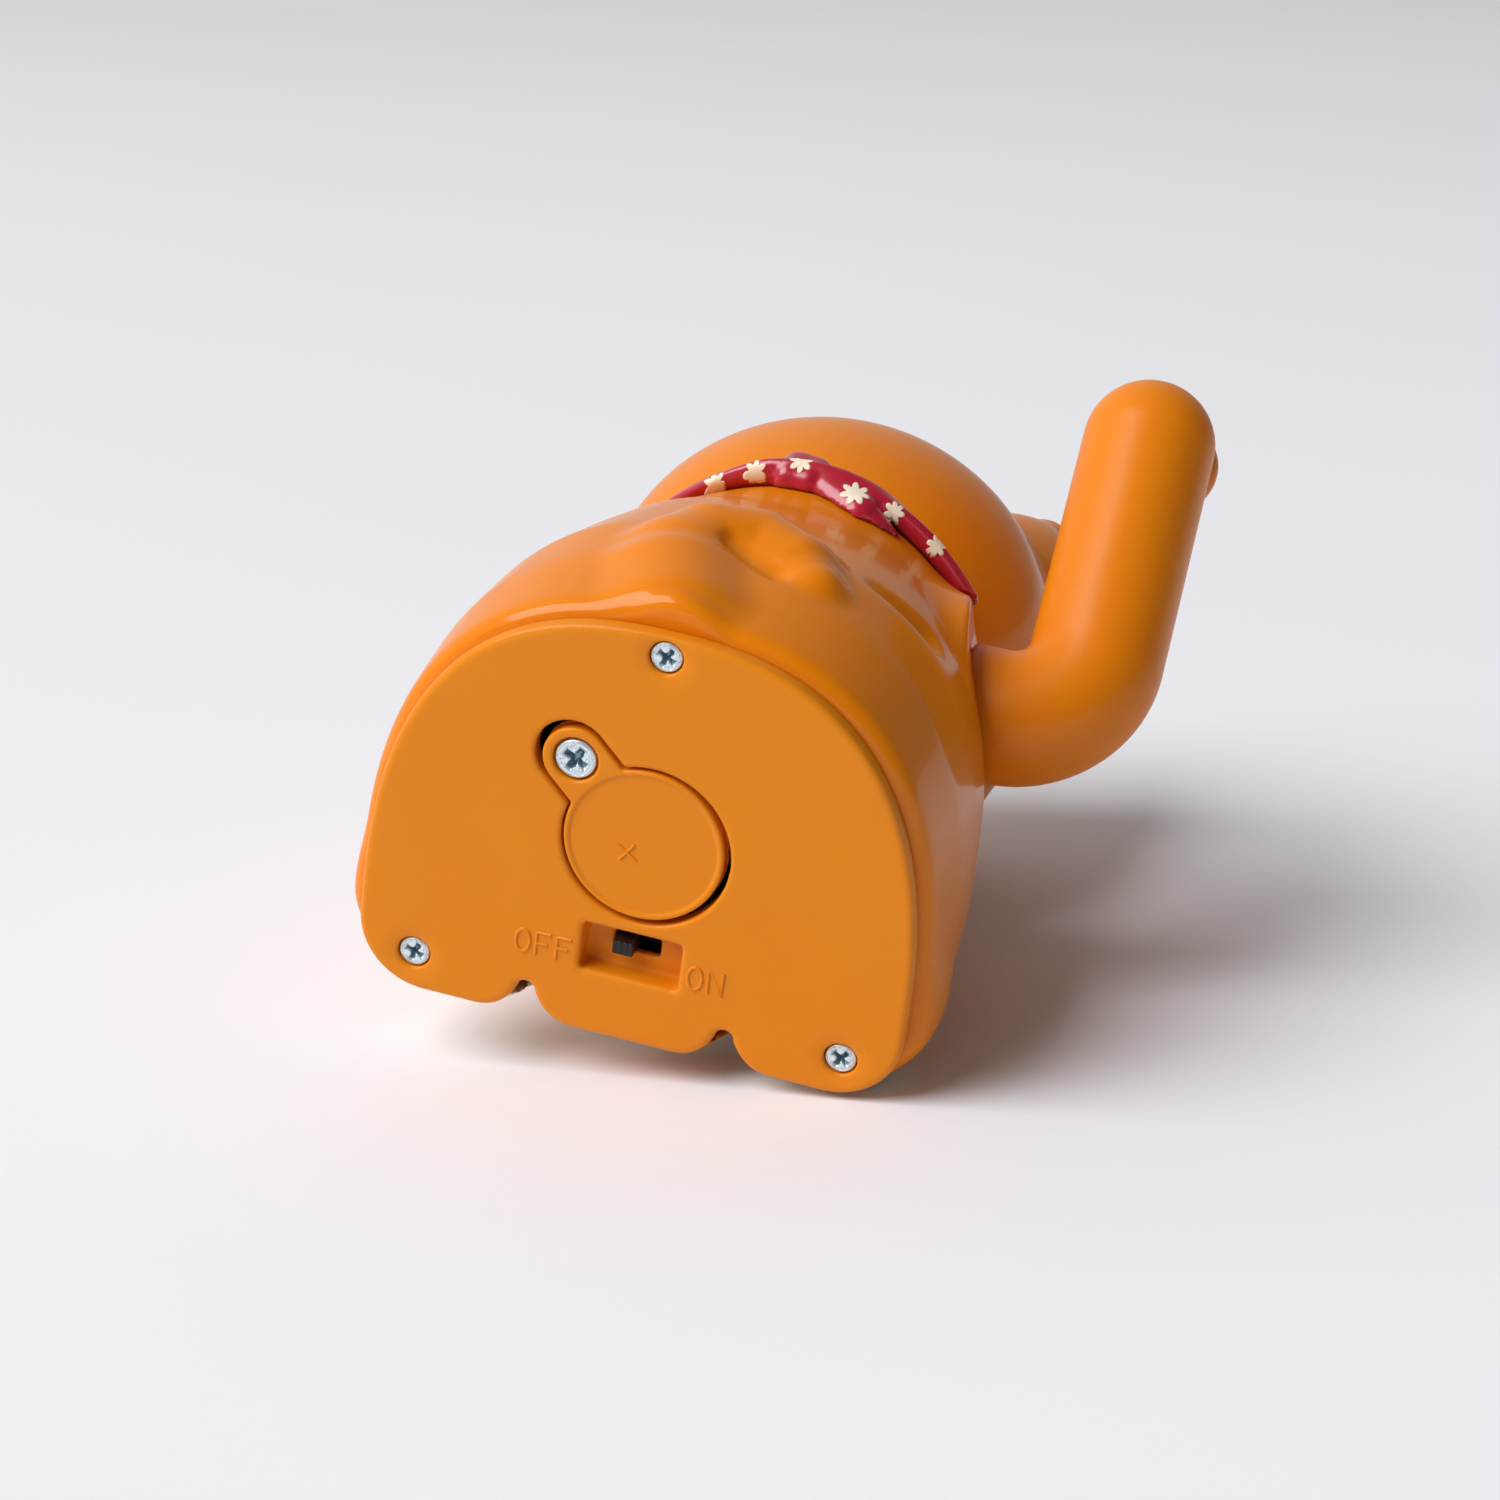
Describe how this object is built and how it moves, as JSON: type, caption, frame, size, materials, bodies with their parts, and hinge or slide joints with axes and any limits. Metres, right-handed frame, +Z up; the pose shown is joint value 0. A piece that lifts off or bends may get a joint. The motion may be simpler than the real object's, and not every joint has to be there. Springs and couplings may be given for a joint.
{
  "type": "battery-driven waving dog figure",
  "caption": "Seated plastic dog with a knotted neckerchief and a swinging raised foreleg, driven by a coil and magnet pendulum; button-cell door and slide switch in the screwed base plate.",
  "frame": {"origin": "centre of the battery door on the underside of the base plate", "axes": "+Z up through the head, the dog faces -Y, +X is the dog's left; the waving foreleg is on its right at -X"},
  "size_m": [0.0684, 0.0665, 0.1011],
  "materials": {
    "orange_gloss": "moulded and lacquered, glossy",
    "red_plastic": "moulded, semi-gloss",
    "orange_satin": "fine moulded texture, satin",
    "zinc_screw": "bright zinc plate",
    "black_plastic": "moulded, matt",
    "brass_pin": "tinned brass strip",
    "cell_steel": "nickel-plated can",
    "spring_steel": "bright drawn steel",
    "board_laminate": "solder-resist on laminate",
    "aluminium_can": "drawn can",
    "white_plastic": "moulded acetal",
    "copper_wire": "enamelled copper wire",
    "core_iron": "bare iron pin",
    "magnet_ferrite": "sintered ferrite",
    "red_lead": "insulated lead",
    "black_lead": "insulated lead"
  },
  "bodies": {
    "figure": {"body_shell": "orange_gloss", "head_shell": "orange_gloss", "bandana": "red_plastic", "base_plate": "orange_satin", "base_screws": "zinc_screw", "button_cell": "cell_steel", "contact_positive": "spring_steel", "contact_negative": "spring_steel", "switch_body": "black_plastic", "switch_terminals": "brass_pin", "circuit_board": "board_laminate", "driver_chip": "black_plastic", "capacitor": "aluminium_can", "coil_bobbin": "white_plastic", "coil_winding": "copper_wire", "coil_core": "core_iron", "mechanism_frame": "white_plastic", "frame_screws": "zinc_screw", "red_wire": "red_lead", "black_wire": "black_lead", "shoulder_bush": "white_plastic"},
    "arm": {"waving_arm": "orange_gloss", "arm_plug": "orange_satin", "axle": "spring_steel", "axle_clips": "spring_steel", "pendulum": "white_plastic", "magnet": "magnet_ferrite"},
    "door": {"battery_door": "orange_satin"},
    "door_screw": {"battery_door_screw": "zinc_screw"},
    "switch": {"switch_slider": "black_plastic"}
  },
  "joints": [
    {"name": "arm_swing", "type": "hinge", "parent": "figure", "child": "arm", "pos_m": [0, 0.001, 0.0395], "axis": [1, 0, 0], "range_deg": [0, 44]},
    {"name": "door_lift", "type": "slide", "parent": "figure", "child": "door", "axis": [0, 0, -1], "range_m": [0, 0.01]},
    {"name": "door_screw_turn", "type": "hinge", "parent": "door", "child": "door_screw", "pos_m": [0.00734, 0.00724, 0], "axis": [0, 0, 1], "continuous": true},
    {"name": "switch_slide", "type": "slide", "parent": "figure", "child": "switch", "axis": [-1, 0, 0], "range_m": [0, 0.002]}
  ]
}
